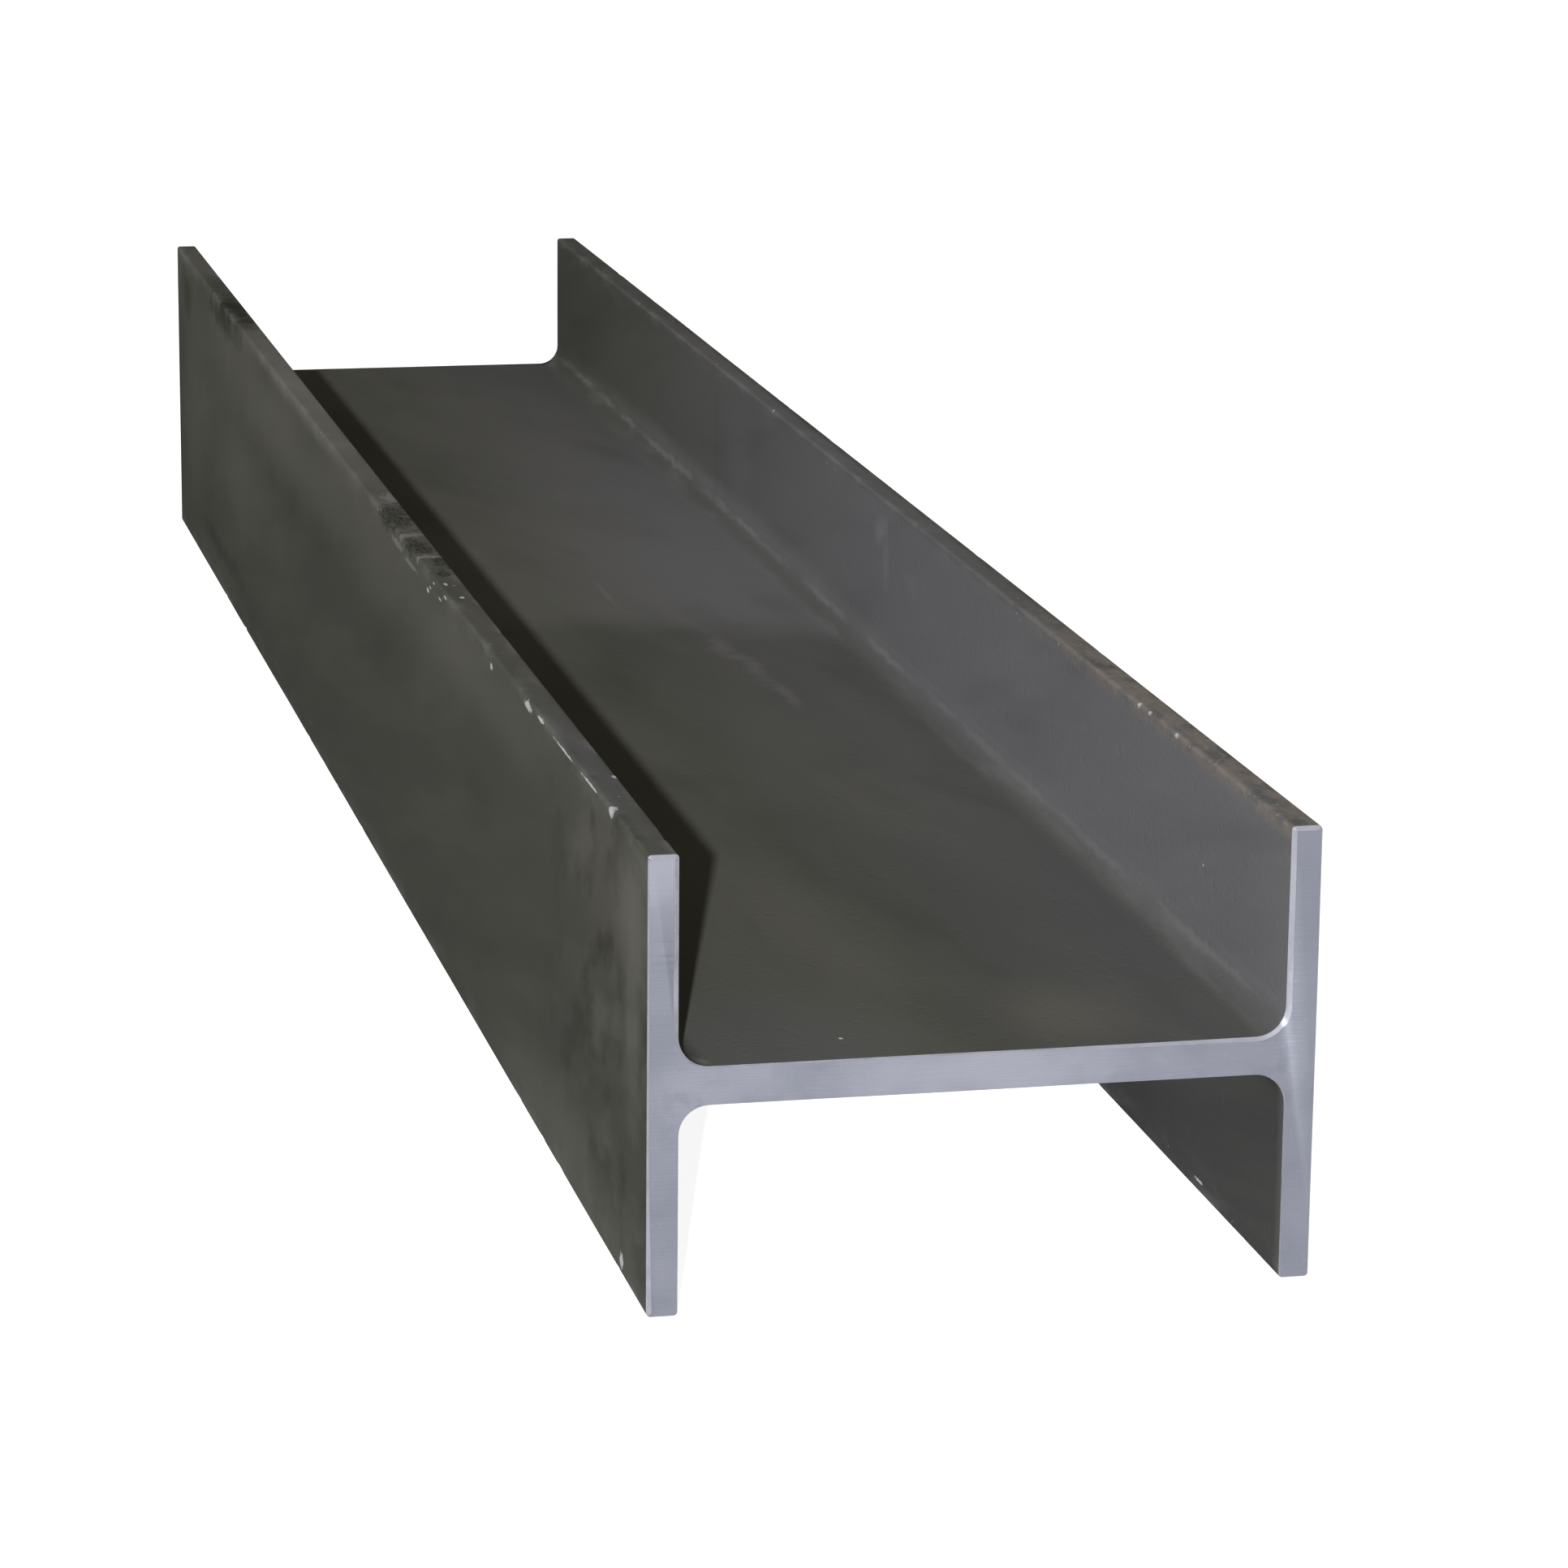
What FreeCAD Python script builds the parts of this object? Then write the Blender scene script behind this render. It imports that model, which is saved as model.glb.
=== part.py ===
"""A cut length of hot-rolled steel H-beam, lying web-flat on the toes of its flanges.

The beam is one rolled piece: two parallel-sided flanges and the web between them, with a rolled
fillet at each root. Both ends are sawn square and their edges are filed blunt.

+X runs from flange to flange, +Y along the beam and +Z up. The origin is on the ground, under
the middle of the beam. Sizes are in millimetres.
"""
import FreeCAD
import Part
import os

# The section.
section_depth = 294.0  # over the outer faces of the two flanges
flange_width = 203.0  # from toe to toe
flange_thickness = 14.0
web_thickness = 17.5
root_radius = 13.0  # rolled fillet between web and flange
toe_radius = 2.0  # rolled rounding on the corners of each toe

# The cut length.
beam_length = 1800.0  # from sawn end to sawn end
end_chamfer = 1.0  # filed along every edge of a sawn end

same_place = 1e-6  # points nearer than this are on the same plane


def quarter_section():
    """One quarter of the section, about its centre: corner x, corner z and rounding radius."""
    outer_face = section_depth / 2
    inner_face = outer_face - flange_thickness
    toe = flange_width / 2
    web_face = web_thickness / 2
    return [
        (outer_face, toe, toe_radius),
        (inner_face, toe, toe_radius),
        (inner_face, web_face, root_radius),
    ]


def section_corners():
    """All twelve corners of the section in order round its outline, standing on the ground."""
    web_height = flange_width / 2
    corners = []
    for x_side, z_side in ((1, 1), (-1, 1), (-1, -1), (1, -1)):
        quarter = quarter_section()
        if x_side != z_side:
            quarter.reverse()
        for x, z, radius in quarter:
            corners.append((FreeCAD.Vector(x_side * x, 0, web_height + z_side * z), radius))
    return corners


def square_corner_arc(before, corner, after, radius):
    """The start, middle and end of the arc that rounds a square corner."""
    to_before = (before - corner).normalize()
    to_after = (after - corner).normalize()
    start = corner + to_before * radius
    end = corner + to_after * radius
    centre = start + to_after * radius
    middle = centre + (corner - centre).normalize() * radius
    return start, middle, end


def section_face():
    """The rounded section as a flat face in the XZ plane."""
    corners = section_corners()
    arcs = []
    for index, (corner, radius) in enumerate(corners):
        before = corners[index - 1][0]
        after = corners[(index + 1) % len(corners)][0]
        arcs.append(square_corner_arc(before, corner, after, radius))
    edges = []
    for index, (start, middle, end) in enumerate(arcs):
        next_start = arcs[(index + 1) % len(arcs)][0]
        edges.append(Part.Arc(start, middle, end).toShape())
        edges.append(Part.LineSegment(end, next_start).toShape())
    return Part.Face(Part.Wire(edges))


def is_sawn_edge(edge):
    """Whether an edge lies wholly in the plane of one of the two sawn ends."""
    box = edge.BoundBox
    lies_across = box.YLength < same_place
    at_an_end = abs(abs(box.Center.y) - beam_length / 2) < same_place
    return lies_across and at_an_end


def make_beam():
    """The section drawn out to the beam's length, with the edges of its sawn ends filed."""
    near_end = FreeCAD.Vector(0, -beam_length / 2, 0)
    rolled = section_face().translated(near_end).extrude(FreeCAD.Vector(0, beam_length, 0))
    sawn_edges = [edge for edge in rolled.Edges if is_sawn_edge(edge)]
    return rolled.makeChamfer(end_chamfer, sawn_edges)


os.makedirs("parts", exist_ok=True)
make_beam().exportStep("parts/h_beam.step")
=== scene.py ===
import bmesh
import bpy
import math
from mathutils import Matrix, Vector, noise


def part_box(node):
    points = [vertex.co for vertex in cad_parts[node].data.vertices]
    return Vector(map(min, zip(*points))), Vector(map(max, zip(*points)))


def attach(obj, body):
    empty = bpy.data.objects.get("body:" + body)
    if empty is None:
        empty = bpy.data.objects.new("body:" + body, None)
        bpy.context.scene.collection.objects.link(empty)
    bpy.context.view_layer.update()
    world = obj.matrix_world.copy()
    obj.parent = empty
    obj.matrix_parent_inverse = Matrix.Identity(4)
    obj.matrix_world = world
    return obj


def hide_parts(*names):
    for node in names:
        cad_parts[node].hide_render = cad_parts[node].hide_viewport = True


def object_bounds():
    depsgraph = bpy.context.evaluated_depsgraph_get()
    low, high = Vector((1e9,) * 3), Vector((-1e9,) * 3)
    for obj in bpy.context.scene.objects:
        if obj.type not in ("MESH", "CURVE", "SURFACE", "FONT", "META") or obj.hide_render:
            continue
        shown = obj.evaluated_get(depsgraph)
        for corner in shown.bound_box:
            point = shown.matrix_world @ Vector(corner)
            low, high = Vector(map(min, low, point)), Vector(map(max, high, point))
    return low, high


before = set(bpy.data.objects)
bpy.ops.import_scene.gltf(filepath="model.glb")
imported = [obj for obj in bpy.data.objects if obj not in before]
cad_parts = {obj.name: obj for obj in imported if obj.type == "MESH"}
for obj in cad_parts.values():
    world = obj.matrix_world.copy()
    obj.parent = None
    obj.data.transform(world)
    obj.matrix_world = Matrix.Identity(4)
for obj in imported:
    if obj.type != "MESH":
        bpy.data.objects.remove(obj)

cad_low, cad_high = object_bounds()


# ---------------------------------------------------------------------------------------------
# Mill scale: the blue-grey oxide skin that hot rolling leaves on every long face of the beam.
# It is dull and olive where it is dusty, rubbed bright on the corners of the toes, and chipped or
# scraped where the beam was dragged and stacked. Painted sheen lies cool and pale on the web's right
# half and the right flange's inner face, and painted shade darkens the roots, the faces below the web
# and the far end of the right flange's inner face.

def add_node(tree, kind, sockets=None, **settings):
    """A new node with its settings, its plain values and its links in one call."""
    made = tree.nodes.new(kind)
    for name, value in settings.items():
        setattr(made, name, value)
    for name, value in (sockets or {}).items():
        if isinstance(value, bpy.types.NodeSocket):
            tree.links.new(value, made.inputs[name])
        else:
            made.inputs[name].default_value = value
    return made


def maths(tree, operation, *values):
    sockets = dict(enumerate(values))
    return add_node(tree, "ShaderNodeMath", sockets, operation=operation).outputs[0]


def vector_maths(tree, operation, *values):
    made = add_node(tree, "ShaderNodeVectorMath", dict(enumerate(values)), operation=operation)
    return made.outputs["Value" if operation in ("LENGTH", "DISTANCE") else "Vector"]


def ramp(tree, value, start, end):
    """Runs smoothly from 0 at start to 1 at end."""
    sockets = {"Value": value, "From Min": start, "From Max": end}
    made = add_node(tree, "ShaderNodeMapRange", sockets, interpolation_type="SMOOTHSTEP")
    return made.outputs["Result"]


def product(tree, first, *others):
    """Masks and strengths multiplied together."""
    for other in others:
        first = maths(tree, "MULTIPLY", first, other)
    return first


def opposite(tree, mask):
    return maths(tree, "SUBTRACT", 1.0, mask)


def mix_colours(tree, mask, first, second):
    """The first colour where the mask is 0, turning to the second where it is 1."""
    sockets = {0: mask, 6: first, 7: second}
    return add_node(tree, "ShaderNodeMix", sockets, data_type="RGBA").outputs[2]


def washed(tree, base, mask, strength, tint):
    """The base turned part of the way to a tint where the mask is."""
    return mix_colours(tree, product(tree, mask, strength), base, tint)


def colour(red, green, blue):
    return (red, green, blue, 1.0)


def start_group(name, inputs, outputs):
    """An empty shader node group with its named inputs and outputs."""
    group = bpy.data.node_groups.new(name, "ShaderNodeTree")
    for socket_name, kind, value in inputs:
        socket = group.interface.new_socket(socket_name, in_out="INPUT", socket_type=kind)
        if value is not None:
            socket.default_value = value
    for socket_name, kind in outputs:
        group.interface.new_socket(socket_name, in_out="OUTPUT", socket_type=kind)
    entry = add_node(group, "NodeGroupInput").outputs
    leave = add_node(group, "NodeGroupOutput").inputs
    return group, entry, leave


# Uneven tone: soft patches, stretched any way, between two levels of one noise.
uneven_tone, entry, leave = start_group(
    "uneven_tone",
    [
        ("Place", "NodeSocketVector", None),
        ("Patches per Metre", "NodeSocketVector", (10.0, 10.0, 10.0)),
        ("Detail", "NodeSocketFloat", 4.0),
        ("Start", "NodeSocketFloat", 0.4),
        ("End", "NodeSocketFloat", 0.6),
    ],
    [("Mask", "NodeSocketFloat")],
)
scaled = vector_maths(uneven_tone, "MULTIPLY", entry["Place"], entry["Patches per Metre"])
patches = add_node(
    uneven_tone, "ShaderNodeTexNoise", {"Vector": scaled, "Scale": 1.0, "Detail": entry["Detail"]}
)
uneven_tone.links.new(
    ramp(uneven_tone, patches.outputs[0], entry["Start"], entry["End"]), leave["Mask"]
)


def tone(tree, place, per_metre, start, end, detail):
    sockets = {
        "Place": place,
        "Patches per Metre": per_metre,
        "Detail": detail,
        "Start": start,
        "End": end,
    }
    return add_node(tree, "ShaderNodeGroup", sockets, node_tree=uneven_tone).outputs["Mask"]


# Ragged mark: a chip, rub or stain of a given half size at a given place, with torn edges.
ragged_mark, entry, leave = start_group(
    "ragged_mark",
    [
        ("Place", "NodeSocketVector", None),
        ("Centre", "NodeSocketVector", (0.0, 0.0, 0.0)),
        ("Half Size", "NodeSocketVector", (0.01, 0.01, 0.01)),
        ("Raggedness", "NodeSocketFloat", 0.5),
        ("Tears per Metre", "NodeSocketFloat", 200.0),
        ("Softness", "NodeSocketFloat", 0.3),
    ],
    [("Mask", "NodeSocketFloat")],
)
from_centre = vector_maths(ragged_mark, "SUBTRACT", entry["Place"], entry["Centre"])
in_sizes = vector_maths(ragged_mark, "DIVIDE", from_centre, entry["Half Size"])
tears = add_node(
    ragged_mark,
    "ShaderNodeTexNoise",
    {"Vector": entry["Place"], "Scale": entry["Tears per Metre"], "Detail": 3.0},
)
full_tear = 4.0  # how far a tear reaches into a mark at full raggedness, in half sizes
tear_level = maths(ragged_mark, "SUBTRACT", tears.outputs[0], 0.5)
torn = product(ragged_mark, tear_level, product(ragged_mark, entry["Raggedness"], full_tear))
reach = maths(ragged_mark, "ADD", vector_maths(ragged_mark, "LENGTH", in_sizes), torn)
inner_reach = opposite(ragged_mark, entry["Softness"])
ragged_mark.links.new(ramp(ragged_mark, reach, 1.0, inner_reach), leave["Mask"])


def mark(tree, place, centre, half_size, raggedness, tears, softness):
    sockets = {
        "Place": place,
        "Centre": centre,
        "Half Size": half_size,
        "Raggedness": raggedness,
        "Tears per Metre": tears,
        "Softness": softness,
    }
    return add_node(tree, "ShaderNodeGroup", sockets, node_tree=ragged_mark).outputs["Mask"]


def new_steel(name, metallic, specular):
    """A material with its Principled shader, and the place on the beam that patterns follow."""
    material = bpy.data.materials.new(name)
    material.use_nodes = True
    tree = material.node_tree
    shader = tree.nodes["Principled BSDF"]
    shader.inputs["Metallic"].default_value = metallic
    shader.inputs["Specular IOR Level"].default_value = specular
    place = add_node(tree, "ShaderNodeTexCoord").outputs["Object"]
    return material, tree, shader, place


olive_scale = colour(0.138, 0.139, 0.120)
dark_scale = colour(0.106, 0.107, 0.094)
# Also used for painted shade, in the roots and towards the far end of the right flange's inner face.
dull_scale = colour(0.090, 0.091, 0.082)
pale_scale = colour(0.205, 0.205, 0.182)
# Painted sheen and highlight, on the web and the right flange's inner face.
pale_cool_sheen = colour(0.225, 0.226, 0.247)
# A cool tone of the scale, also used for painted sheen.
cool_scale_and_sheen = colour(0.142, 0.143, 0.156)
# Painted shade below the web.
under_web_shade = colour(0.077, 0.077, 0.081)
yellow_scale = colour(0.205, 0.200, 0.165)
brown_scale = colour(0.135, 0.122, 0.112)
dry_scale = colour(0.30, 0.296, 0.272)
soot = colour(0.034, 0.035, 0.030)
rubbed_steel = colour(0.29, 0.29, 0.30)
bright_chip = colour(0.75, 0.75, 0.77)
thin_rust = colour(0.295, 0.258, 0.237)

mill_scale, tree, skin, place = new_steel("mill_scale", 0.0, 0.0)
axes = add_node(tree, "ShaderNodeSeparateXYZ", {0: place}).outputs
toe_top = cad_high.z
left_outer = cad_low.x  # the left flange's outer face
left_toe = -0.140  # the middle of the left flange's top
right_inner = 0.133  # the right flange's inner face
web_top = 0.110  # the web's upper face, to the nearest millimetre
on_outer_faces = ramp(tree, maths(tree, "ABSOLUTE", axes["X"]), 0.140, 0.145)
inside = opposite(tree, on_outer_faces)
above_web = ramp(tree, axes["Z"], 0.096, 0.106)
below_web = product(tree, inside, ramp(tree, axes["Z"], 0.098, 0.090))
below_toe = ramp(tree, axes["Z"], toe_top, toe_top - 0.005)
below_toe = maths(tree, "MULTIPLY_ADD", below_toe, 0.45, 0.55)
on_right_inner = ramp(tree, axes["X"], 0.120, 0.132)
on_right_inner = product(tree, on_right_inner, inside, above_web, below_toe)

# Everything that was wiped or dragged over the beam ran a little askew of its length.
askew = add_node(
    tree,
    "ShaderNodeCombineXYZ",
    {
        0: maths(tree, "MULTIPLY_ADD", axes["Y"], 0.10, axes["X"]),
        1: axes["Y"],
        2: maths(tree, "MULTIPLY_ADD", axes["Y"], 0.20, axes["Z"]),
    },
).outputs[0]

# The broad clouding of the scale, and the outer faces darker below their top edge.
clouds = tone(tree, askew, (6.0, 1.7, 7.0), start=0.34, end=0.66, detail=2.0)
base = mix_colours(tree, clouds, dark_scale, olive_scale)
below_edge = product(tree, ramp(tree, axes["Z"], 0.200, 0.120), 0.86)
outer_darkening = product(tree, on_outer_faces, below_edge)
base = mix_colours(tree, outer_darkening, base, dull_scale)

# Below the web the inner faces are darker with painted shade.
base = washed(tree, base, below_web, 0.85, under_web_shade)

# The right flange's inner face carries a painted highlight, palest and coolest at the near end and
# dimmed a little at the very end, with painted shade darkening it towards the far end.
far_painted_shade = product(tree, on_right_inner, ramp(tree, axes["Y"], 0.50, 1.30))
base = mix_colours(tree, far_painted_shade, base, dull_scale)
near_painted_highlight = product(tree, on_right_inner, ramp(tree, axes["Y"], 0.95, -0.45))
base = mix_colours(tree, near_painted_highlight, base, pale_cool_sheen)
end_dimming = product(tree, on_right_inner, ramp(tree, axes["Y"], -0.60, -0.92))
base = washed(tree, base, end_dimming, 0.26, cool_scale_and_sheen)

# On the web the painted cool sheen is fainter and lies on its right half. A band over its middle
# length, which ends at an edge, is paler across the web and carries the palest painted sheen on the
# right half.
web_right_sheen = product(tree, ramp(tree, axes["X"], -0.045, 0.110), inside)
web_right_sheen = maths(tree, "SUBTRACT", web_right_sheen, on_right_inner)
web_right_sheen = product(tree, maths(tree, "MAXIMUM", web_right_sheen, 0.0), above_web)
wander = add_node(tree, "ShaderNodeTexNoise", {"Vector": place, "Scale": 14.0, "Detail": 2.0})
edge_place = maths(tree, "MULTIPLY_ADD", axes["X"], 0.30, axes["Y"])
edge_place = maths(tree, "MULTIPLY_ADD", wander.outputs[0], 0.07, edge_place)
near_edge = ramp(tree, edge_place, -0.018, 0.044)
far_fading = ramp(tree, edge_place, 0.85, 0.18)
mid_web_band = product(tree, near_edge, far_fading)
low_over_web = ramp(tree, axes["Z"], 0.130, 0.116)
on_web = product(tree, inside, opposite(tree, on_right_inner), low_over_web, above_web)
base = washed(tree, base, web_right_sheen, 0.60, cool_scale_and_sheen)
base = washed(tree, base, product(tree, mid_web_band, on_web), 0.34, pale_scale)
base = washed(tree, base, product(tree, web_right_sheen, mid_web_band), 0.66, pale_cool_sheen)

# Long soft streaks, pale and dark, with patches of olive among them.
streaks = tone(tree, askew, (26.0, 2.4, 30.0), start=0.40, end=0.72, detail=3.0)
base = washed(tree, base, streaks, 0.12, pale_scale)
dark_streaks = tone(tree, askew, (20.0, 3.0, 24.0), start=0.50, end=0.80, detail=3.0)
base = washed(tree, base, dark_streaks, 0.18, soot)
olive_patches = tone(tree, askew, (9.0, 4.0, 9.0), start=0.54, end=0.74, detail=2.0)
olive_patches = product(tree, olive_patches, opposite(tree, on_right_inner))
base = washed(tree, base, olive_patches, 0.30, olive_scale)

# Handling marks by the near end, on the left flange's outer face: small smudges, dark and pale.
on_left_outer = ramp(tree, axes["X"], -0.140, -0.145)
near_left_end = product(tree, ramp(tree, axes["Y"], -0.62, -0.80), on_left_outer)
smudges = tone(tree, askew, (46.0, 20.0, 34.0), start=0.46, end=0.68, detail=4.0)
smudges = product(tree, smudges, near_left_end)
base = washed(tree, base, smudges, 0.56, soot)
wipes = tone(tree, askew, (34.0, 11.0, 30.0), start=0.50, end=0.78, detail=3.0)
wipes = product(tree, wipes, near_left_end)
base = washed(tree, base, wipes, 0.40, pale_scale)

# Broad soft stains: centre, half size, colour, strength.
stains = [
    ((left_outer, -0.820, 0.165), (0.02, 0.110, 0.045), brown_scale, 0.35),
    ((left_outer, -0.860, 0.170), (0.02, 0.060, 0.060), pale_scale, 0.45),
    ((left_outer, -0.740, 0.010), (0.02, 0.300, 0.050), pale_scale, 0.44),
    ((left_outer, 0.800, 0.110), (0.02, 0.120, 0.110), pale_scale, 0.22),
    ((left_outer, 0.540, 0.105), (0.02, 0.330, 0.075), pale_scale, 0.32),
    ((left_outer, 0.330, 0.165), (0.02, 0.420, 0.036), pale_scale, 0.34),
    ((left_outer, -0.450, 0.180), (0.02, 0.260, 0.026), pale_scale, 0.22),
    ((left_toe, 0.250, toe_top), (0.02, 0.400, 0.012), dry_scale, 0.62),
    ((left_toe, 0.810, toe_top), (0.02, 0.100, 0.010), pale_scale, 0.55),
    ((right_inner, 0.330, 0.122), (0.012, 0.640, 0.013), rubbed_steel, 0.34),
    # A patch of painted sheen, not a stain.
    ((right_inner, 0.250, 0.155), (0.020, 0.055, 0.050), pale_cool_sheen, 0.25),
    ((right_inner, 0.317, 0.155), (0.010, 0.010, 0.050), cool_scale_and_sheen, 0.55),
    ((0.085, -0.058, web_top), (0.042, 0.024, 0.020), pale_scale, 0.26),
    ((0.050, -0.850, web_top), (0.040, 0.070, 0.020), yellow_scale, 0.38),
    ((-0.090, -0.870, web_top), (0.090, 0.110, 0.020), cool_scale_and_sheen, 0.60),
    ((left_toe, -0.740, toe_top), (0.010, 0.210, 0.006), cool_scale_and_sheen, 0.70),
]
for centre, half_size, tint, strength in stains:
    stain = mark(tree, place, centre, half_size, raggedness=0.12, tears=10.0, softness=0.95)
    base = washed(tree, base, stain, strength, tint)

# Smaller rubs with torn edges: centre, half size, colour, strength.
rubs = [
    ((left_outer, -0.870, 0.120), (0.02, 0.030, 0.080), pale_scale, 0.30),
    ((left_outer, -0.130, 0.192), (0.02, 0.060, 0.016), brown_scale, 0.50),
    ((left_outer, 0.840, 0.178), (0.02, 0.045, 0.022), soot, 0.40),
    ((left_outer, 0.100, 0.000), (0.02, 0.420, 0.003), soot, 0.60),
    ((left_outer, 0.610, 0.194), (0.02, 0.120, 0.014), soot, 0.55),
    ((left_outer, 0.640, 0.028), (0.02, 0.160, 0.012), soot, 0.35),
    ((left_toe, 0.590, toe_top), (0.02, 0.110, 0.010), soot, 0.78),
    ((left_toe, 0.160, toe_top), (0.02, 0.200, 0.008), brown_scale, 0.25),
    ((-0.107, -0.817, 0.107), (0.0022, 0.0040, 0.004), soot, 0.90),
    ((-0.122, -0.892, 0.112), (0.0060, 0.0080, 0.006), dry_scale, 0.70),
    ((right_inner, -0.140, 0.184), (0.010, 0.024, 0.011), rubbed_steel, 0.95),
    ((right_inner, -0.150, 0.166), (0.010, 0.010, 0.030), rubbed_steel, 0.40),
    ((right_inner, -0.215, 0.168), (0.010, 0.024, 0.012), rubbed_steel, 0.25),
]
for centre, half_size, tint, strength in rubs:
    rub = mark(tree, place, centre, half_size, raggedness=0.35, tears=45.0, softness=0.9)
    base = washed(tree, base, rub, strength, tint)

# Soft pale swipes that slant across the near half of the right flange's inner face.
slanted = add_node(
    tree,
    "ShaderNodeCombineXYZ",
    {0: axes["X"], 1: axes["Y"], 2: maths(tree, "MULTIPLY_ADD", axes["Y"], 0.22, axes["Z"])},
).outputs[0]
swipes = tone(tree, slanted, (8.0, 5.0, 34.0), start=0.46, end=0.76, detail=4.0)
swipes = product(tree, swipes, on_right_inner, ramp(tree, axes["Y"], 0.20, -0.55))
base = washed(tree, base, swipes, 0.22, rubbed_steel)

# A faint wavy line where something was drawn along the web: centre, half size.
for centre, half_size in (
    ((0.053, -0.090, web_top), (0.0110, 0.050, 0.01)),
    ((0.060, -0.150, web_top), (0.0080, 0.055, 0.01)),
    ((0.064, -0.215, web_top), (0.0055, 0.050, 0.01)),
    ((0.015, 0.070, web_top), (0.0030, 0.060, 0.01)),
):
    drawn = mark(tree, place, centre, half_size, raggedness=0.30, tears=60.0, softness=0.95)
    base = washed(tree, base, drawn, 0.24, rubbed_steel)

# The roots are darker with painted shade, with a broken pale line on the flange's side.
root = add_node(tree, "ShaderNodeAttribute", attribute_name="root").outputs["Fac"]
base = washed(tree, base, root, 0.50, dull_scale)
beside_root = ramp(tree, maths(tree, "ABSOLUTE", axes["X"]), 0.118, 0.126)
beside_root = product(tree, inside, beside_root, above_web)
root_wander = add_node(tree, "ShaderNodeTexNoise", {"Vector": place, "Scale": 60.0, "Detail": 4.0})
line_height = maths(tree, "MULTIPLY_ADD", root_wander.outputs[0], 0.0050, 0.1150)
off_line = maths(tree, "ABSOLUTE", maths(tree, "SUBTRACT", axes["Z"], line_height))
line_breaks = tone(tree, place, (90.0, 12.0, 90.0), start=0.40, end=0.66, detail=6.0)
line_fading = maths(tree, "MULTIPLY_ADD", ramp(tree, axes["Y"], -0.45, 0.10), 0.40, 0.60)
root_line = ramp(tree, off_line, 0.0030, 0.0002)
root_line = product(tree, root_line, line_breaks, beside_root, line_fading)
base = washed(tree, base, root_line, 0.55, rubbed_steel)
root_mottle = tone(tree, place, (80.0, 11.0, 80.0), start=0.46, end=0.70, detail=5.0)
low_down = ramp(tree, axes["Z"], 0.136, 0.112)
root_mottle = product(tree, root_mottle, beside_root, low_down)
base = washed(tree, base, root_mottle, 0.20, rubbed_steel)

# Corners of the toes, rubbed through to dull steel in an uneven line.
toe = add_node(tree, "ShaderNodeAttribute", attribute_name="toe").outputs["Fac"]
rub_breaks = tone(tree, place, (90.0, 22.0, 90.0), start=0.42, end=0.72, detail=5.0)
worn_toe = product(tree, toe, rub_breaks)
base = washed(tree, base, worn_toe, 0.40, rubbed_steel)

# Thin rust along the top of the right flange, strongest towards the near end.
near_top = ramp(tree, axes["Z"], toe_top - 0.010, toe_top - 0.001)
on_right_toe = product(tree, ramp(tree, axes["X"], 0.128, 0.132), near_top)
rust_reach = ramp(tree, axes["Y"], -0.35, -0.62)
rust_patches = tone(tree, place, (120.0, 40.0, 120.0), start=0.32, end=0.56, detail=6.0)
rust = product(tree, on_right_toe, rust_reach, rust_patches)
base = washed(tree, base, rust, 0.84, thin_rust)
crust_area = product(tree, on_right_toe, ramp(tree, axes["Y"], -0.35, -0.60))
crust = tone(tree, place, (210.0, 95.0, 210.0), start=0.50, end=0.62, detail=5.0)
crust = product(tree, crust, crust_area)
base = washed(tree, base, crust, 0.22, olive_scale)
grit = tone(tree, place, (320.0, 190.0, 320.0), start=0.58, end=0.68, detail=3.0)
grit = product(tree, grit, crust_area)
base = washed(tree, base, grit, 0.75, dry_scale)

# Where something heavy scraped along the left flange's top, the scale is torn into dark hollows
# with pale ragged lips: centre, half size.
hollow_marks = [
    ((-0.143, -0.148, toe_top), (0.013, 0.048, 0.009)),
    ((-0.142, -0.232, toe_top), (0.012, 0.027, 0.009)),
    ((-0.136, -0.276, toe_top), (0.006, 0.020, 0.005)),
    ((-0.139, -0.304, toe_top), (0.005, 0.012, 0.005)),
]
lip_marks = [
    ((-0.137, -0.094, toe_top), (0.006, 0.018, 0.004)),
    ((-0.142, -0.201, toe_top), (0.011, 0.007, 0.006)),
    ((left_outer, -0.190, 0.196), (0.003, 0.024, 0.0028)),
    ((-0.142, -0.261, toe_top), (0.011, 0.006, 0.006)),
    ((left_outer, -0.236, 0.194), (0.003, 0.028, 0.0018)),
]
scoring = tone(tree, place, (700.0, 120.0, 700.0), start=0.40, end=0.62, detail=4.0)
hollows = 0.0
for centre, half_size in hollow_marks:
    hollow = mark(tree, place, centre, half_size, raggedness=0.45, tears=170.0, softness=0.6)
    hollows = maths(tree, "MAXIMUM", hollows, hollow)
hollows = product(tree, hollows, maths(tree, "MULTIPLY_ADD", scoring, 0.55, 0.45))
lips = 0.0
for centre, half_size in lip_marks:
    lip = mark(tree, place, centre, half_size, raggedness=0.55, tears=300.0, softness=0.6)
    lips = maths(tree, "MAXIMUM", lips, lip)
base = washed(tree, base, hollows, 0.78, soot)
base = washed(tree, base, lips, 0.70, rubbed_steel)

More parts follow.
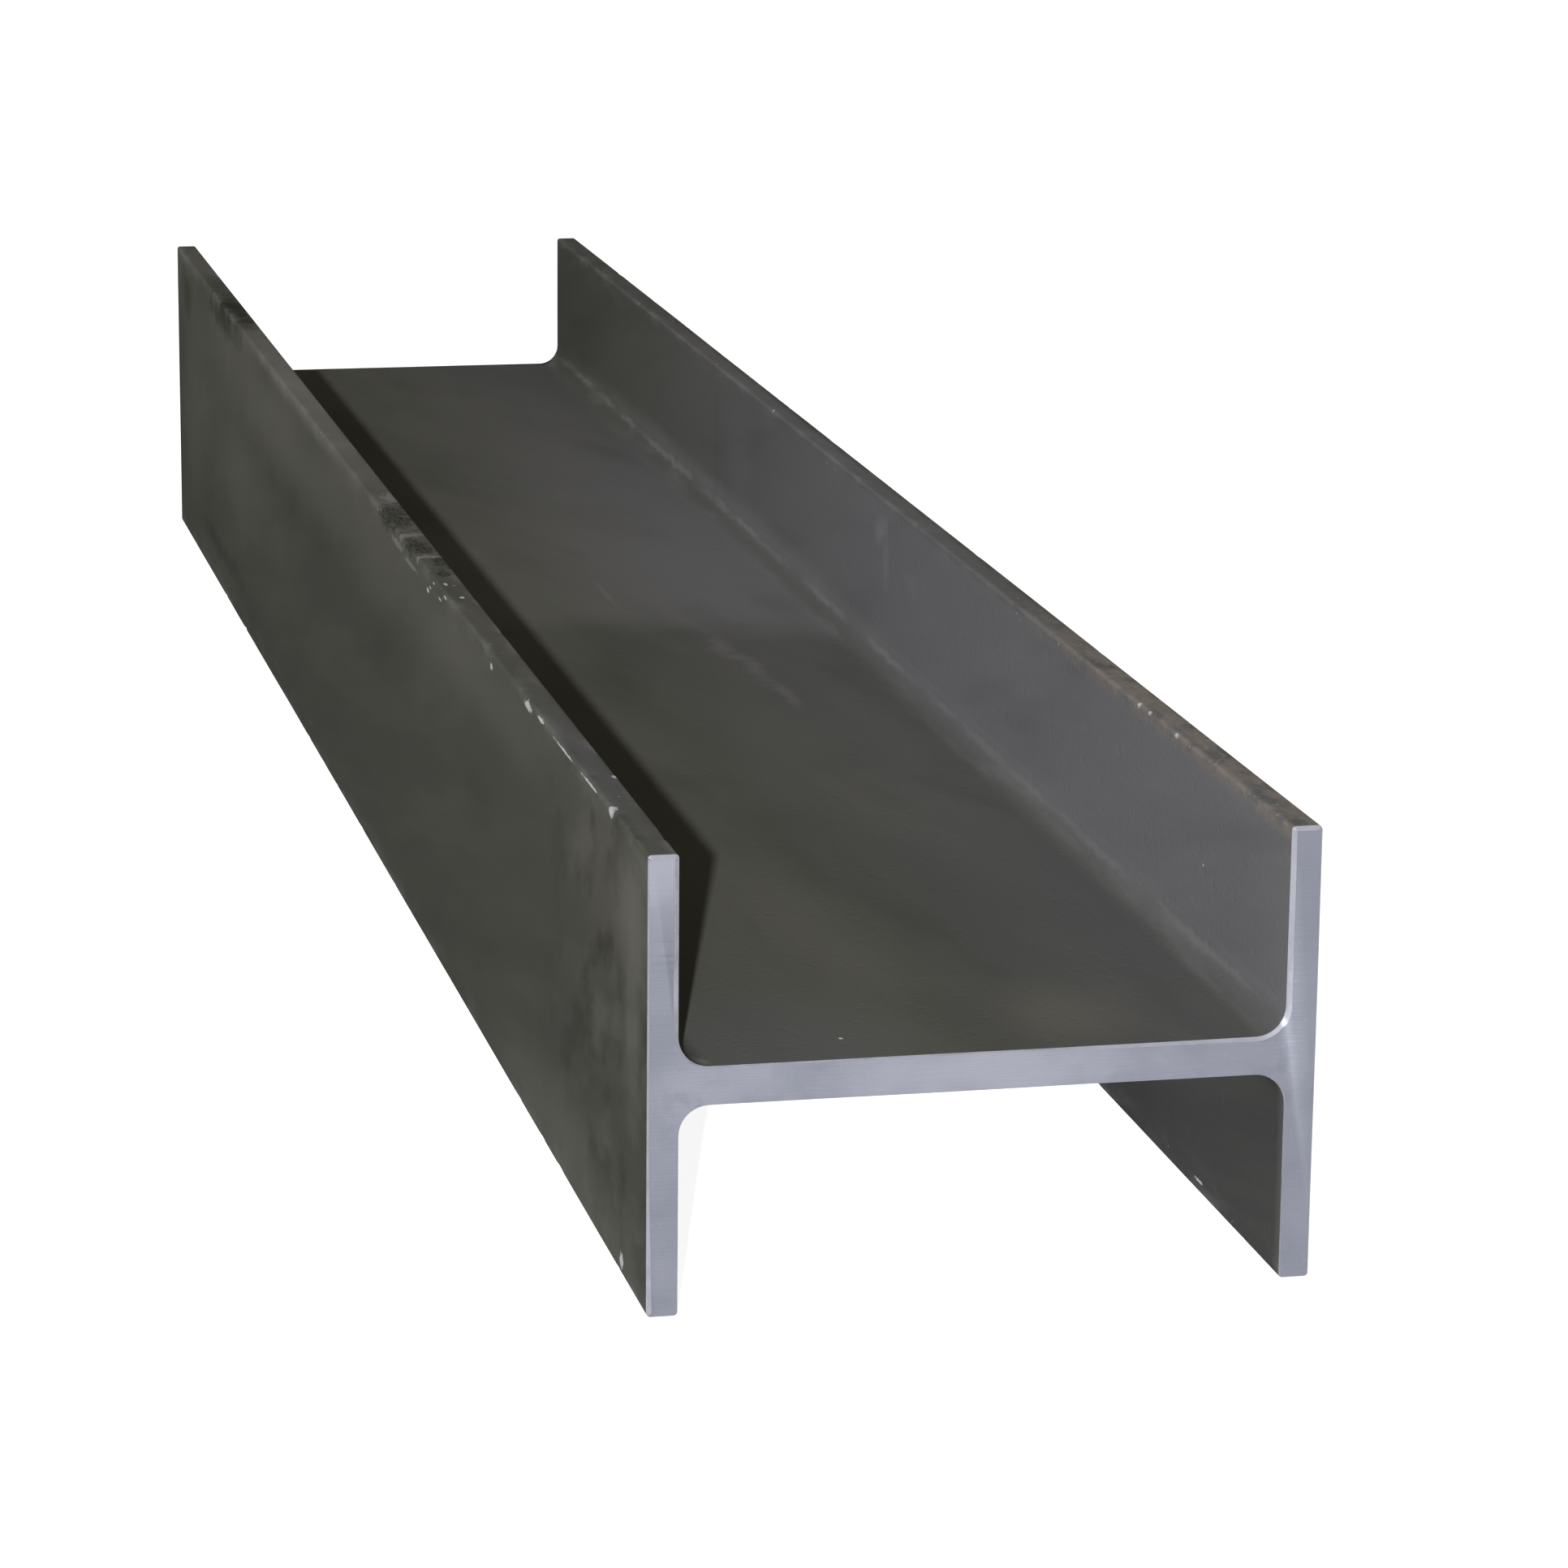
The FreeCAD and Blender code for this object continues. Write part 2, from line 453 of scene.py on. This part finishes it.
# Bright chips, where the scale has flaked down to bare steel: centre, half size.
chips = [
    ((left_outer, -0.605, 0.2000), (0.004, 0.012, 0.0024)),
    ((left_outer, -0.640, 0.2012), (0.004, 0.009, 0.0012)),
    ((left_outer, -0.700, 0.2010), (0.004, 0.030, 0.0007)),
    ((left_outer, -0.765, 0.2012), (0.004, 0.024, 0.0007)),
    ((left_outer, -0.816, 0.2014), (0.004, 0.006, 0.0032)),
    ((-0.134, -0.760, toe_top), (0.0024, 0.004, 0.003)),
    ((left_outer, -0.843, 0.0070), (0.004, 0.005, 0.0045)),
    ((left_outer, -0.298, 0.1925), (0.004, 0.006, 0.0013)),
    ((left_outer, -0.306, 0.1955), (0.004, 0.004, 0.0008)),
    ((left_outer, -0.318, 0.2002), (0.004, 0.003, 0.0007)),
    ((left_outer, -0.338, 0.1960), (0.004, 0.005, 0.0008)),
    ((left_outer, -0.356, 0.2005), (0.004, 0.005, 0.0009)),
    ((-0.143, -0.334, toe_top), (0.0012, 0.004, 0.002)),
    ((left_toe, -0.368, toe_top), (0.0016, 0.003, 0.002)),
    ((left_outer, -0.500, 0.1960), (0.004, 0.004, 0.0022)),
    ((-0.0564, -0.869, 0.1103), (0.0014, 0.0016, 0.0014)),
    ((0.1325, -0.660, toe_top), (0.0030, 0.004, 0.0030)),
    ((0.1325, -0.678, toe_top), (0.0024, 0.003, 0.0024)),
    ((0.1320, -0.723, toe_top), (0.0034, 0.004, 0.0034)),
    ((right_inner, -0.771, 0.153), (0.003, 0.0013, 0.0009)),
    ((right_inner, -0.778, 0.0060), (0.003, 0.008, 0.0010)),
]
chipped = 0.0
for centre, half_size in chips:
    chip = mark(tree, place, centre, half_size, raggedness=0.30, tears=420.0, softness=0.45)
    chipped = maths(tree, "MAXIMUM", chipped, chip)
scattered = tone(tree, place, (260.0, 150.0, 260.0), start=0.74, end=0.78, detail=2.0)
scattered = product(tree, scattered, ramp(tree, toe, 0.15, 0.5))
bare = maths(tree, "MAXIMUM", chipped, scattered)
base = washed(tree, base, bare, 0.85, bright_chip)
tree.links.new(base, skin.inputs["Base Color"])

# Dull scale, smoother where it is rubbed, with a fine grain and shallow pits.
grain = add_node(tree, "ShaderNodeTexNoise", {"Vector": place, "Scale": 420.0, "Detail": 5.0})
pits = tone(tree, place, (140.0, 90.0, 140.0), start=0.58, end=0.74, detail=3.0)
dullness = maths(tree, "MULTIPLY_ADD", streaks, -0.10, 0.72)
dullness = maths(tree, "MULTIPLY_ADD", grain.outputs[0], 0.08, dullness)
dullness = maths(tree, "MULTIPLY_ADD", bare, -0.12, dullness)
tree.links.new(dullness, skin.inputs["Roughness"])
relief = maths(tree, "MULTIPLY_ADD", pits, -0.5, grain.outputs[0])
relief = maths(tree, "MULTIPLY_ADD", hollows, -2.4, relief)
relief = maths(tree, "MULTIPLY_ADD", bare, -1.2, relief)
bump = add_node(tree, "ShaderNodeBump", {"Height": relief, "Strength": 0.35, "Distance": 0.0004})
tree.links.new(bump.outputs["Normal"], skin.inputs["Normal"])


# ---------------------------------------------------------------------------------------------
# Sawn steel: the bright face that a band saw leaves across each end of the beam. It is bare
# blue-grey metal with fine feed lines, a few wiped smudges and a little mottling.

sawn_colour = colour(0.134, 0.141, 0.174)
sawn_pale = colour(0.226, 0.232, 0.275)
sawn_smudge = colour(0.118, 0.124, 0.155)

sawn_steel, tree, face, place = new_steel("sawn_steel", 0.30, 0.3)
axes = add_node(tree, "ShaderNodeSeparateXYZ", {0: place}).outputs
cloudy = tone(tree, place, (16.0, 1.0, 16.0), start=0.35, end=0.65, detail=3.0)
base = washed(tree, sawn_colour, cloudy, 0.25, sawn_pale)
smudges = tone(tree, place, (30.0, 1.0, 70.0), start=0.55, end=0.75, detail=4.0)
base = washed(tree, base, smudges, 0.35, sawn_smudge)
speckle = tone(tree, place, (420.0, 1.0, 300.0), start=0.60, end=0.75, detail=2.0)
base = washed(tree, base, speckle, 0.18, sawn_pale)

# Places on the near end that were wiped paler: centre, half size, strength.
near_end = cad_low.y
wiped_places = [
    ((-0.142, near_end, 0.196), (0.030, 0.01, 0.034), 0.72),
    ((-0.120, near_end, 0.104), (0.045, 0.01, 0.026), 0.50),
    ((0.005, near_end, 0.102), (0.120, 0.01, 0.026), 0.80),
    ((0.141, near_end, 0.115), (0.028, 0.01, 0.050), 0.20),
]
for centre, half_size, strength in wiped_places:
    wiped = mark(tree, place, centre, half_size, raggedness=0.25, tears=40.0, softness=0.9)
    base = washed(tree, base, wiped, strength, sawn_pale)

# Blotches in the corners where the flanges meet the web: centre, half size.
blotches = tone(tree, place, (95.0, 1.0, 80.0), start=0.46, end=0.60, detail=5.0)
for centre, half_size in (
    ((-0.128, near_end, 0.096), (0.026, 0.01, 0.036)),
    ((0.132, near_end, 0.100), (0.022, 0.01, 0.034)),
):
    corner_area = mark(tree, place, centre, half_size, raggedness=0.2, tears=50.0, softness=0.8)
    blotched = product(tree, blotches, corner_area)
    base = washed(tree, base, blotched, 0.42, sawn_smudge)

# Thin smears across the left flange where the wiping stopped.
smear_lines = tone(tree, place, (18.0, 1.0, 360.0), start=0.46, end=0.64, detail=2.0)
smear_centre = (-0.138, near_end, 0.160)
smear_size = (0.012, 0.01, 0.012)
smear_area = mark(tree, place, smear_centre, smear_size, raggedness=0.20, tears=60.0, softness=0.7)
smears = product(tree, smear_lines, smear_area)
base = washed(tree, base, smears, 0.9, sawn_smudge)
feed_lines = tone(tree, place, (26.0, 1.0, 1400.0), start=0.35, end=0.65, detail=2.0)
base = washed(tree, base, feed_lines, 0.06, sawn_smudge)
tree.links.new(base, face.inputs["Base Color"])
face_dullness = maths(tree, "MULTIPLY_ADD", smudges, 0.10, 0.50)
tree.links.new(maths(tree, "MULTIPLY_ADD", feed_lines, 0.05, face_dullness), face.inputs["Roughness"])
bump = add_node(tree, "ShaderNodeBump", {"Height": feed_lines, "Strength": 0.12, "Distance": 0.0002})
tree.links.new(bump.outputs["Normal"], face.inputs["Normal"])


# ---------------------------------------------------------------------------------------------
# Ground edge: the narrow bevel that a disc grinder leaves when the saw's burr is taken off.
# It is the palest steel on the beam, with short streaks along the way the disc ran.

ground_colour = colour(0.262, 0.268, 0.305)
ground_streak = colour(0.190, 0.196, 0.228)

ground_edge, tree, bevel_face, place = new_steel("ground_edge", 0.30, 0.3)
streaks = tone(tree, place, (160.0, 400.0, 160.0), start=0.35, end=0.70, detail=3.0)
base = washed(tree, ground_colour, streaks, 0.6, ground_streak)
tree.links.new(base, bevel_face.inputs["Base Color"])
tree.links.new(maths(tree, "MULTIPLY_ADD", streaks, 0.15, 0.38), bevel_face.inputs["Roughness"])


# ---------------------------------------------------------------------------------------------
# The beam: one hot-rolled bar of steel, two flanges and a web, sawn to length. The rolls give it
# the same section all along, never quite flat, and handling has nicked the toes of its flanges.
# The saw's burr is filed off all round and ground back to wider facets on the near end.

flange_thickness = 0.014
web_thickness = 0.0175
root_radius = 0.013
toe_radius = 0.002
face_spacing = 0.010  # between points across a flat face
root_steps = 9
toe_steps = 4
finest_radius = 0.00005  # left on a corner that is ground past its rolled rounding
toe_wear_reach = 0.0035
filed_width = 0.0007  # of the edge break all round both ends, seen from the end
ground_width = 0.0019  # added by the grinder where it was worked longest
ground_slope = 0.40  # how deep a ground facet goes for its width
unevenness_per_metre = 38.0  # of the grinding, along the edge
widening_height = 0.070  # below it the left flange's outer facet widens to the ground
web_facet_start = 0.045  # the web's facet is wide to the right of this
edge_marks = (0.0015, 0.0040)  # the first points of a flat face, from its ends
crisp_turn = math.radians(32)  # faces that meet at more than this shade as a crisp edge

low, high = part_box("h_beam")
beam_length = high.y - low.y
web_height = (low.z + high.z) / 2


def section_corners():
    """The twelve corners of the section in order round it, each with its rounding."""
    outer_face = (high.x - low.x) / 2
    inner_face = outer_face - flange_thickness
    toe_reach = (high.z - low.z) / 2
    corners = []
    for x_side, z_side in ((1, 1), (-1, 1), (-1, -1), (1, -1)):
        quarter = [
            (outer_face, toe_reach, toe_radius),
            (inner_face, toe_reach, toe_radius),
            (inner_face, web_thickness / 2, root_radius),
        ]
        if x_side != z_side:
            quarter.reverse()
        for x, z, radius in quarter:
            corners.append((Vector((x_side * x, 0, web_height + z_side * z)), radius))
    return corners


def ground_share(point):
    """How much of the full grinding an edge of the near end has, from 0 to 1."""
    above_web = point.z > web_height
    on_flange = abs(point.x) > high.x - flange_thickness - toe_radius
    outer_side = abs(point.x) > high.x - toe_radius / 2
    at_top = point.z > high.z - toe_radius
    if at_top:
        share = 0.9
    elif on_flange and above_web and not outer_side:
        share = 1.0
    elif outer_side and point.x < 0:
        low_down = min(1.0, max(0.0, (widening_height - point.z) / widening_height))
        share = 0.12 + 0.88 * low_down
    elif above_web and not on_flange:
        share = 0.6 if point.x > web_facet_start else 0.15
    else:
        share = 0.0
    unevenness = 0.5 + 0.5 * noise.noise(point * unevenness_per_metre)
    return share * (0.65 + 0.55 * unevenness)


def cut_back(point, outward, rounding, width):
    """Where a point of the outline comes to when an edge break of this width is taken off."""
    if rounding is None:
        return point - outward * width
    corner, centre, radius = rounding
    left_over = max(radius - width, finest_radius)
    if radius == toe_radius:
        new_centre = corner + (centre - corner) * max(1.0, width / radius)
        return new_centre + outward * left_over
    return point - outward * width


def corner_arc(before, corner, after, radius):
    """The points of one rounded corner, each with the way out of the steel and its rounding."""
    to_before = (before - corner).normalized()
    to_after = (after - corner).normalized()
    centre = corner + (to_before + to_after) * radius
    is_root = radius == root_radius
    steps = root_steps if is_root else toe_steps
    points = []
    for step in range(steps + 1):
        turn = math.radians(90) * step / steps
        from_centre = -to_after * math.cos(turn) - to_before * math.sin(turn)
        outward = -from_centre if is_root else from_centre
        points.append((centre + from_centre * radius, outward, (corner, centre, radius)))
    return points


def between_arcs(start, end, outward):
    """Points on a flat face between two corners, closer together near its edges."""
    run = (end - start).length
    middle = run - 2 * edge_marks[1]
    count = max(1, round(middle / face_spacing))
    marks = [edge_marks[0]]
    marks += [edge_marks[1] + middle * step / count for step in range(count + 1)]
    marks += [run - edge_marks[0]]
    return [(start.lerp(end, distance / run), outward, None) for distance in marks]


def section_outline():
    corners = section_corners()
    arcs = []
    for index, (corner, radius) in enumerate(corners):
        before = corners[index - 1][0]
        after = corners[(index + 1) % len(corners)][0]
        arcs.append(corner_arc(before, corner, after, radius))
    outline = []
    for index, arc in enumerate(arcs):
        next_start = arcs[(index + 1) % len(arcs)][0][0]
        outline += arc
        outline += between_arcs(arc[-1][0], next_start, arc[-1][1])
    return outline


def nearness(point, radius, reach):
    """1 at a corner that has this rounding, fading away from it over the reach."""
    gaps = [(point - corner).length for corner, rounding in section_corners() if rounding == radius]
    return math.exp(-max(0.0, min(gaps) - radius) / reach)


def outline_mesh():
    """The section as a closed line, with what each point needs to know about its place."""
    outline = section_outline()
    count = len(outline)
    mesh = bpy.data.meshes.new("section_outline")
    edges = [(index, (index + 1) % count) for index in range(count)]
    mesh.from_pydata([point for point, outward, rounding in outline], edges, [])
    vectors = {"place": [], "outward": [], "near_cut": [], "far_cut": []}
    values = {"toe": [], "root": [], "near_depth": []}
    for point, outward, rounding in outline:
        ground = ground_width * ground_share(point)
        vectors["place"].append(point)
        vectors["outward"].append(outward)
        vectors["near_cut"].append(cut_back(point, outward, rounding, filed_width + ground))
        vectors["far_cut"].append(cut_back(point, outward, rounding, filed_width))
        values["near_depth"].append(filed_width + ground * ground_slope)
        values["toe"].append(nearness(point, toe_radius, toe_wear_reach))
        in_root = rounding is not None and rounding[2] == root_radius
        values["root"].append(2 * abs(outward.x * outward.z) if in_root else 0.0)
    for name, listed in vectors.items():
        layer = mesh.attributes.new(name, "FLOAT_VECTOR", "POINT")
        for index, vector in enumerate(listed):
            layer.data[index].vector = vector
    for name, listed in values.items():
        layer = mesh.attributes.new(name, "FLOAT", "POINT")
        for index, value in enumerate(listed):
            layer.data[index].value = value
    return mesh


beam_inputs = [
    ("Section", "NodeSocketGeometry", None),
    ("Length", "NodeSocketFloat", beam_length),
    ("Ring Spacing", "NodeSocketFloat", 0.005),
    ("Roll Wave", "NodeSocketFloat", 0.0005),
    ("Nick Depth", "NodeSocketFloat", 0.0009),
    ("Filed Depth", "NodeSocketFloat", filed_width),
    ("Mill Scale", "NodeSocketMaterial", mill_scale),
    ("Ground Edge", "NodeSocketMaterial", ground_edge),
    ("Sawn Steel", "NodeSocketMaterial", sawn_steel),
]
rolling = bpy.data.node_groups.new("rolled_and_sawn_beam", "GeometryNodeTree")
identifiers = {}
for name, kind, value in beam_inputs:
    socket = rolling.interface.new_socket(name, in_out="INPUT", socket_type=kind)
    identifiers[name] = socket.identifier
rolling.interface.new_socket("Beam", in_out="OUTPUT", socket_type="NodeSocketGeometry")
given = add_node(rolling, "NodeGroupInput").outputs


def named(name, kind="FLOAT"):
    """A stored value of the section or the run, read at each point of the beam."""
    made = add_node(rolling, "GeometryNodeInputNamedAttribute", {"Name": name}, data_type=kind)
    return made.outputs["Attribute"]


# The run of the beam, one station to each ring, numbered from the near end.
ring_count = maths(rolling, "ROUND", maths(rolling, "DIVIDE", given["Length"], given["Ring Spacing"]))
run = add_node(rolling, "GeometryNodeCurvePrimitiveLine")
run = add_node(
    rolling,
    "GeometryNodeResampleCurve",
    {"Curve": run.outputs["Curve"], "Count": maths(rolling, "ADD", ring_count, 1.0)},
    mode="COUNT",
)
run = add_node(
    rolling,
    "GeometryNodeStoreNamedAttribute",
    {
        "Geometry": run.outputs["Curve"],
        "Name": "station",
        "Value": add_node(rolling, "GeometryNodeInputIndex").outputs["Index"],
    },
    data_type="FLOAT",
    domain="POINT",
)
section = add_node(rolling, "GeometryNodeMeshToCurve", {"Mesh": given["Section"]})
swept = add_node(
    rolling,
    "GeometryNodeCurveToMesh",
    {
        "Curve": run.outputs["Geometry"],
        "Profile Curve": section.outputs["Curve"],
        "Fill Caps": True,
    },
)

# Where each ring lies along the beam, with the second ring at the foot of the end bevel.
station = named("station")
stations_to_end = maths(
    rolling, "MINIMUM", station, maths(rolling, "SUBTRACT", ring_count, station)
)
half_run = product(rolling, given["Length"], 0.5)
from_near_face = product(rolling, maths(rolling, "DIVIDE", station, ring_count), given["Length"])
along = maths(rolling, "SUBTRACT", from_near_face, half_run)
end_side = maths(rolling, "SIGN", along)
at_near_end = maths(rolling, "LESS_THAN", along, 0.0)
is_end_ring = maths(rolling, "LESS_THAN", stations_to_end, 0.5)
is_bevel_ring = maths(
    rolling, "SUBTRACT", maths(rolling, "LESS_THAN", stations_to_end, 1.5), is_end_ring
)
near_depth = product(rolling, named("near_depth"), at_near_end)
at_far_end = opposite(rolling, at_near_end)
bevel_depth = maths(rolling, "MULTIPLY_ADD", given["Filed Depth"], at_far_end, near_depth)
bevel_foot = product(rolling, end_side, maths(rolling, "SUBTRACT", half_run, bevel_depth))
to_foot = maths(rolling, "SUBTRACT", bevel_foot, along)
along = maths(rolling, "MULTIPLY_ADD", is_bevel_ring, to_foot, along)


def either_place(mask, first, second):
    """The first place where the mask is 0, the second where it is 1."""
    sockets = {0: mask, 4: first, 5: second}
    return add_node(rolling, "ShaderNodeMix", sockets, data_type="VECTOR").outputs[1]


# Each ring keeps the section's full size, but the end rings are cut back by the edge break.
near_cut = named("near_cut", "FLOAT_VECTOR")
far_cut = named("far_cut", "FLOAT_VECTOR")
cut_section = either_place(at_far_end, near_cut, far_cut)
ring_section = either_place(is_end_ring, named("place", "FLOAT_VECTOR"), cut_section)
section_axes = add_node(rolling, "ShaderNodeSeparateXYZ", {0: ring_section}).outputs
spot = add_node(
    rolling, "ShaderNodeCombineXYZ", {0: section_axes[0], 1: along, 2: section_axes[2]}
).outputs[0]

# How far the steel lies inside its full size: the rolls' long waves, and nicks in the toes.
wave_place = vector_maths(rolling, "MULTIPLY", spot, (9.0, 3.0, 9.0))
waves = add_node(rolling, "ShaderNodeTexNoise", {"Vector": wave_place, "Scale": 1.0, "Detail": 1.0})
nick_place = vector_maths(rolling, "MULTIPLY", spot, (60.0, 34.0, 60.0))
nicks = add_node(rolling, "ShaderNodeTexNoise", {"Vector": nick_place, "Scale": 1.0, "Detail": 2.0})
nicked = product(rolling, ramp(rolling, nicks.outputs[0], 0.60, 0.85), named("toe"))
nicked = product(rolling, nicked, ramp(rolling, stations_to_end, 1.0, 4.0))
inset = product(rolling, waves.outputs[0], given["Roll Wave"])
inset = maths(rolling, "MULTIPLY_ADD", nicked, given["Nick Depth"], inset)
inset = product(rolling, inset, opposite(rolling, is_end_ring))
inward = add_node(
    rolling,
    "ShaderNodeVectorMath",
    {0: named("outward", "FLOAT_VECTOR"), "Scale": product(rolling, inset, -1.0)},
    operation="SCALE",
).outputs["Vector"]
shaped = add_node(
    rolling,
    "GeometryNodeSetPosition",
    {"Geometry": swept.outputs["Mesh"], "Position": vector_maths(rolling, "ADD", spot, inward)},
)

# The rolled faces shade smoothly; the saw cut and the bevels round it stay crisp. A face has the
# mean of its points' ring numbers, so it is 0 on the saw cut, 0.5 on a bevel and more beyond it.
is_rolled = add_node(
    rolling, "FunctionNodeCompare", {"A": stations_to_end, "B": 1.0}, operation="GREATER_THAN"
).outputs["Result"]
is_sawn = add_node(
    rolling, "FunctionNodeCompare", {"A": stations_to_end, "B": 0.25}, operation="LESS_THAN"
).outputs["Result"]
smoothed = add_node(
    rolling,
    "GeometryNodeSetShadeSmooth",
    {"Geometry": shaped.outputs["Geometry"], "Shade Smooth": is_rolled},
)
finished = add_node(rolling, "GeometryNodeRealizeInstances", {0: smoothed.outputs["Geometry"]})
for surface, where in (("Ground Edge", True), ("Mill Scale", is_rolled), ("Sawn Steel", is_sawn)):
    finished = add_node(
        rolling,
        "GeometryNodeSetMaterial",
        {"Geometry": finished.outputs[0], "Selection": where, "Material": given[surface]},
    )
leave = add_node(rolling, "NodeGroupOutput").inputs
rolling.links.new(finished.outputs["Geometry"], leave["Beam"])

blank = bpy.data.objects.new("section_outline", outline_mesh())
bpy.context.scene.collection.objects.link(blank)
rolls = blank.modifiers.new("rolls_and_saw", "NODES")
rolls.node_group = rolling
for name, kind, value in beam_inputs:
    if value is not None:
        rolls[identifiers[name]] = value
depsgraph = bpy.context.evaluated_depsgraph_get()
beam_mesh = bpy.data.meshes.new_from_object(
    blank.evaluated_get(depsgraph), preserve_all_data_layers=True, depsgraph=depsgraph
)
bpy.data.objects.remove(blank)

shell = bmesh.new()
shell.from_mesh(beam_mesh)
bmesh.ops.recalc_face_normals(shell, faces=shell.faces)
shell.to_mesh(beam_mesh)
shell.free()
beam_mesh.set_sharp_from_angle(angle=crisp_turn)
beam = bpy.data.objects.new("rolled_beam", beam_mesh)
bpy.context.scene.collection.objects.link(beam)
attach(beam, "root")
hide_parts("h_beam")


# ---------------------------------------------------------------------------------------------
# The studio: a plain pale floor under the beam, white to the camera and to reflections, which
# keeps the beam's shadow. It is not part of the beam.

floor_half_size = 30.0
floor_colour = colour(0.80, 0.80, 0.80)
floor_mesh = bpy.data.meshes.new("studio_floor")
floor_corners = [
    (x * floor_half_size, y * floor_half_size, cad_low.z)
    for x, y in ((-1, -1), (1, -1), (1, 1), (-1, 1))
]
floor_mesh.from_pydata(floor_corners, [], [(0, 1, 2, 3)])
studio_floor = bpy.data.objects.new("studio_floor", floor_mesh)
bpy.context.scene.collection.objects.link(studio_floor)


def seen_directly(tree):
    """1 for rays from the camera, and for those reflected or let through, otherwise 0."""
    rays = add_node(tree, "ShaderNodeLightPath").outputs
    seen = maths(tree, "MAXIMUM", rays["Is Camera Ray"], rays["Is Glossy Ray"])
    return maths(tree, "MAXIMUM", seen, rays["Is Transmission Ray"])


floor_glow = 0.91  # with the lamps' light on the floor it comes to white
floor_material = bpy.data.materials.new("pale_floor")
floor_material.use_nodes = True
tree = floor_material.node_tree
floor_shader = tree.nodes["Principled BSDF"]
floor_shader.inputs["Base Color"].default_value = floor_colour
floor_shader.inputs["Roughness"].default_value = 1.0
floor_shader.inputs["Specular IOR Level"].default_value = 0.0
floor_shader.inputs["Emission Color"].default_value = colour(1.0, 1.0, 1.0)
seen_glow = product(tree, seen_directly(tree), floor_glow)
tree.links.new(seen_glow, floor_shader.inputs["Emission Strength"])
floor_mesh.materials.append(floor_material)

world = bpy.data.worlds.new("studio_air")
bpy.context.scene.world = world
world.use_nodes = True
tree = world.node_tree
soft_light = tree.nodes["Background"]
soft_light.inputs["Color"].default_value = colour(1.0, 0.93, 0.80)
soft_light.inputs["Strength"].default_value = 0.15
white_back = add_node(tree, "ShaderNodeBackground", {"Strength": 1.0, "Color": colour(1, 1, 1)})
either = add_node(
    tree,
    "ShaderNodeMixShader",
    {0: seen_directly(tree), 1: soft_light.outputs[0], 2: white_back.outputs[0]},
)
tree.links.new(either.outputs[0], tree.nodes["World Output"].inputs["Surface"])


def add_lamp(name, kind, power, **settings):
    lamp = bpy.data.lights.new(name, kind)
    lamp.energy = power
    for setting, value in settings.items():
        setattr(lamp, setting, value)
    holder = bpy.data.objects.new(name, lamp)
    bpy.context.scene.collection.objects.link(holder)
    return holder


# The key light is low, in front of the beam and a little to its left, so that the left flange
# throws a band of shadow along the web. A lamp nearer the beam, in line with it, lights the near
# end more than the far end and throws the same shadow.
to_key = Vector((-0.238, -0.939, 0.248)).normalized()
shading_corner = Vector((low.x + flange_thickness, low.y, high.z))
lamp_distance = 3.4
key_turn = to_key.to_track_quat("Z", "Y").to_euler()
key = add_lamp("key_light", "SUN", power=2.7, angle=math.radians(0.8))
key.rotation_euler = key_turn
near_lamp = add_lamp("near_lamp", "AREA", power=88.0, size=0.05)
near_lamp.location = shading_corner + to_key * lamp_distance
near_lamp.rotation_euler = key_turn

# The back light is level with the beam, behind it and to its right, so that it reaches only the
# right flange's outer face and the far end.
to_back = Vector((0.7071, 0.7071, 0.0))
back = add_lamp("back_light", "SUN", power=1.6, angle=math.radians(4))
back.rotation_euler = to_back.to_track_quat("Z", "Y").to_euler()


# ---------------------------------------------------------------------------------------------
# The camera stands in front of the near end, to the left and above, and looks along the beam.

camera_data = bpy.data.cameras.new("camera")
camera_data.sensor_width = 36.0
camera_data.lens = 126.16
camera = bpy.data.objects.new("camera", camera_data)
bpy.context.scene.collection.objects.link(camera)
camera_heading = math.radians(12.46)
camera_dip = math.radians(13.718)
camera_roll = math.radians(0.561)
from_near_end = Vector((-0.5691, -2.1718, 0.6726))
near_end_centre = Vector((0.0, low.y, web_height))
turned = (
    Matrix.Rotation(-camera_heading, 4, "Z")
    @ Matrix.Rotation(math.radians(90) - camera_dip, 4, "X")
    @ Matrix.Rotation(camera_roll, 4, "Z")
)
camera.matrix_world = Matrix.Translation(near_end_centre + from_near_end) @ turned
camera_data.clip_end = 100.0
bpy.context.scene.camera = camera
bpy.context.scene.view_settings.view_transform = "Standard"
